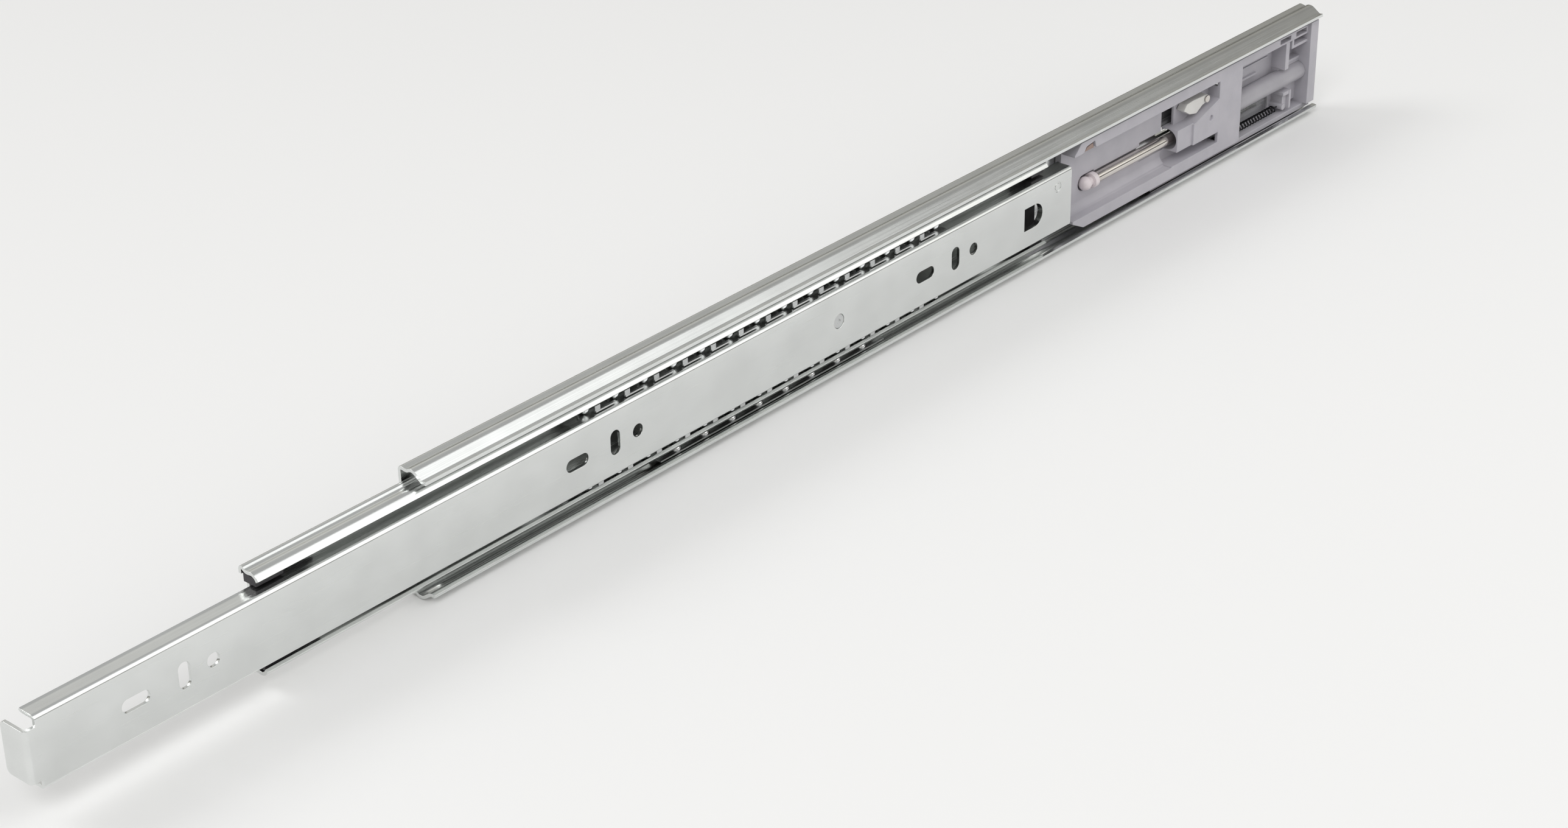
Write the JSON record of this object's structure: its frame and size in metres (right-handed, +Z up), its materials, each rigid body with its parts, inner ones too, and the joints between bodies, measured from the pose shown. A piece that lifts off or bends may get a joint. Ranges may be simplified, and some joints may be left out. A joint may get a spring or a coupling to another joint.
{
  "type": "cabinet drawer slide",
  "caption": "Full-extension ball-bearing drawer slide: three nested steel members on ball retainers, with a soft-close damper unit at the rear.",
  "frame": {"origin": "middle of the cabinet member's front edge, on its mounting face", "axes": "+X along the slide to the rear (the drawer opens along -X), +Y into the cabinet wall, +Z up"},
  "size_m": [0.6502, 0.0127, 0.0458],
  "materials": {
    "zinc_steel": "zinc plated, satin",
    "rivet_steel": "plain",
    "stop_rubber": "matt",
    "charcoal_plastic": "moulded, matt",
    "retainer_steel": "pressed strip",
    "ball_steel": "polished",
    "grey_plastic": "moulded, satin",
    "cylinder_plastic": "moulded, satin",
    "clip_brass": "dull",
    "rod_steel": "polished",
    "knob_plastic": "moulded",
    "latch_plastic": "moulded",
    "black_spring": "blackened"
  },
  "bodies": {
    "cabinet": {"cabinet_member": "zinc_steel", "soft_close_base": "grey_plastic", "damper_cylinder": "cylinder_plastic", "return_spring": "black_spring"},
    "carriage": {"soft_close_carriage": "grey_plastic", "carriage_clip": "clip_brass", "piston_rod": "rod_steel", "rod_knob": "knob_plastic", "latch_pin": "rod_steel"},
    "latch": {"latch_lever": "latch_plastic"},
    "intermediate": {"intermediate_member": "zinc_steel", "front_bumper": "charcoal_plastic", "rear_bumper": "charcoal_plastic"},
    "outer_cage": {"outer_retainer": "retainer_steel", "outer_balls_upper": "ball_steel", "outer_balls_lower": "ball_steel"},
    "inner_cage": {"inner_retainer_upper": "retainer_steel", "inner_retainer_lower": "retainer_steel", "inner_balls_upper": "ball_steel", "inner_balls_lower": "ball_steel"},
    "drawer": {"drawer_member": "zinc_steel", "stop_rivet": "rivet_steel", "stop_block": "stop_rubber"}
  },
  "joints": [
    {"name": "soft_close_stroke", "type": "slide", "parent": "cabinet", "child": "carriage", "axis": [1, 0, 0], "range_m": [0, 0.0485], "deforming": ["return_spring"]},
    {"name": "intermediate_slide", "type": "slide", "parent": "carriage", "child": "intermediate", "axis": [-1, 0, 0], "range_m": [-0.0162, 0.185]},
    {"name": "drawer_slide", "type": "slide", "parent": "intermediate", "child": "drawer", "axis": [-1, 0, 0], "range_m": [-0.0837, 0.148]},
    {"name": "outer_cage_roll", "type": "slide", "parent": "cabinet", "child": "outer_cage", "axis": [-1, 0, 0], "range_m": [-0.0082, 0.0926]},
    {"name": "inner_cage_roll", "type": "slide", "parent": "intermediate", "child": "inner_cage", "axis": [-1, 0, 0], "range_m": [-0.0419, 0.0741]},
    {"name": "latch_pivot", "type": "hinge", "parent": "carriage", "child": "latch", "pos_m": [0.4217, -0.00715, 0.0078], "axis": [0, -1, 0], "range_deg": [0, 7]}
  ],
  "couplings": [
    {"joint": "outer_cage_roll", "follows": "intermediate_slide", "ratio": 0.5},
    {"joint": "inner_cage_roll", "follows": "drawer_slide", "ratio": 0.5}
  ]
}
